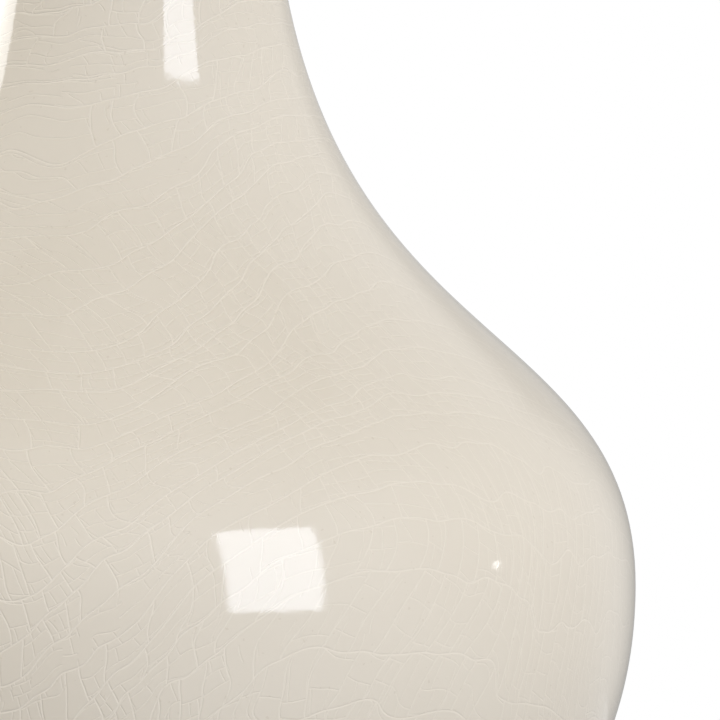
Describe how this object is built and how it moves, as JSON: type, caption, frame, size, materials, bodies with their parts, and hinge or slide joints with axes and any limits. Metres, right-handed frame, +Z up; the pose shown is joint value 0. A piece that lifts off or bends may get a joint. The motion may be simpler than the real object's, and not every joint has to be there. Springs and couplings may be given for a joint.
{
  "type": "table lamp",
  "caption": "Double gourd table lamp: crackle-glazed ceramic body on a round brass plinth, with lampholder, turn switch, harp, linen drum shade and ball finial.",
  "frame": {"origin": "on the table under the felt, on the lamp's own axis", "axes": "+Z up; the switch knob points to the front, -Y; the cord outlet is at the back, +Y; the harp stands across the lamp, in the XZ plane"},
  "size_m": [0.4215, 0.4216, 0.8059],
  "materials": {
    "glaze": "gloss, fine crackle",
    "brass": "satin, aged",
    "harp_brass": "polished",
    "steel": "zinc plated",
    "iron": "rough",
    "felt": "pressed felt",
    "rubber": "matt",
    "linen": "slub linen weave",
    "liner": "matt white film",
    "white_metal": "white enamel",
    "phenolic": "moulded, satin",
    "fibre": "grey-brown fibre",
    "aluminium": "bright",
    "bulb_glass": "frosted inside",
    "bulb_base": "black glass"
  },
  "bodies": {
    "lamp": {"base_felt": "felt", "base_plinth": "brass", "base_weight": "iron", "cord_bushing": "rubber", "foot_gasket": "felt", "gourd_body": "glaze", "lamp_rod": "steel", "rod_washer": "steel", "rod_nut": "steel", "neck_gasket": "rubber", "vase_cap": "brass", "neck_column": "brass", "harp_saddle": "harp_brass", "saddle_nut": "steel", "socket_cap": "brass", "socket_shell": "brass", "socket_insulator": "fibre", "socket_body": "phenolic", "terminal_screws": "harp_brass", "socket_screw_shell": "aluminium", "socket_contact": "harp_brass", "harp_bow": "harp_brass", "harp_seat": "harp_brass"},
    "ferrule_left": {"harp_ferrule_left": "harp_brass"},
    "ferrule_right": {"harp_ferrule_right": "harp_brass"},
    "switch": {"switch_shaft": "steel", "switch_knob": "phenolic"},
    "bulb": {"bulb_glass": "bulb_glass", "bulb_cap": "aluminium", "bulb_insulator": "bulb_base", "bulb_tip": "steel"},
    "shade": {"shade_spider": "white_metal", "shade_bottom_ring": "white_metal", "shade_liner": "liner", "shade_linen": "linen", "shade_trim_top": "linen", "shade_trim_bottom": "linen"},
    "finial": {"finial": "brass"}
  },
  "joints": [
    {"name": "shade_turn", "type": "hinge", "parent": "lamp", "child": "shade", "pos_m": [0, 0, 0.7707], "axis": [0, 0, 1], "continuous": true},
    {"name": "finial_turn", "type": "hinge", "parent": "lamp", "child": "finial", "pos_m": [0, 0, 0.7727], "axis": [0, 0, 1], "continuous": true},
    {"name": "bulb_turn", "type": "hinge", "parent": "lamp", "child": "bulb", "pos_m": [0, 0, 0.567], "axis": [0, 0, 1], "continuous": true},
    {"name": "switch_turn", "type": "hinge", "parent": "lamp", "child": "switch", "pos_m": [0, -0.017, 0.5564], "axis": [0, -1, 0], "continuous": true},
    {"name": "ferrule_left_slide", "type": "slide", "parent": "lamp", "child": "ferrule_left", "axis": [0, 0, 1], "range_m": [0, 0.014]},
    {"name": "ferrule_right_slide", "type": "slide", "parent": "lamp", "child": "ferrule_right", "axis": [0, 0, 1], "range_m": [0, 0.014]}
  ]
}
